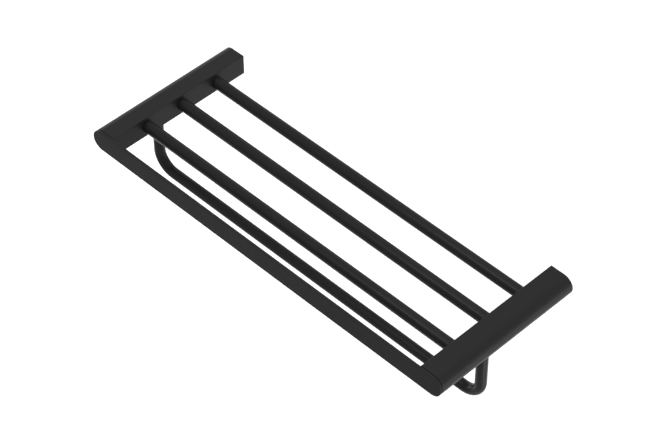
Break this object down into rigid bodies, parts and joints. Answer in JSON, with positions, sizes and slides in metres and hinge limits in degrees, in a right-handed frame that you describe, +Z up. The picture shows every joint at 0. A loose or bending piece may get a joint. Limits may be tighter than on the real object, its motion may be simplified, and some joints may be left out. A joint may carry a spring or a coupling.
{
  "type": "towel rack",
  "caption": "Wall-hung towel rack with D-shaped arms, a flat front plate, round shelf bars and a bent towel rail below.",
  "frame": {"origin": "centre of the wall screws' pattern, on the wall plane midway between the arms at their mid height", "axes": "+X along the rack to its right end, +Y into the wall, +Z up"},
  "size_m": [0.65, 0.246, 0.129],
  "materials": {
    "arm_coat": "matte",
    "plate_coat": "matte",
    "bar_coat": "satin",
    "rail_coat": "satin",
    "fixing_steel": "satin",
    "plug_aluminium": "satin"
  },
  "bodies": {
    "root": {"front_bar_left_plug": "plug_aluminium", "front_bar_right_plug": "plug_aluminium", "front_plate": "plate_coat", "front_plate_studs": "fixing_steel", "left_arm": "arm_coat", "left_bar_grub_screws": "fixing_steel", "left_wall_bracket": "fixing_steel", "middle_bar_left_plug": "plug_aluminium", "middle_bar_right_plug": "plug_aluminium", "plate_grub_screws": "fixing_steel", "rear_bar_left_plug": "plug_aluminium", "rear_bar_right_plug": "plug_aluminium", "right_arm": "arm_coat", "right_bar_grub_screws": "fixing_steel", "right_wall_bracket": "fixing_steel", "shelf_bar_front": "bar_coat", "shelf_bar_middle": "bar_coat", "shelf_bar_rear": "bar_coat", "towel_rail": "rail_coat", "wall_grub_screws": "fixing_steel"}
  },
  "joints": []
}
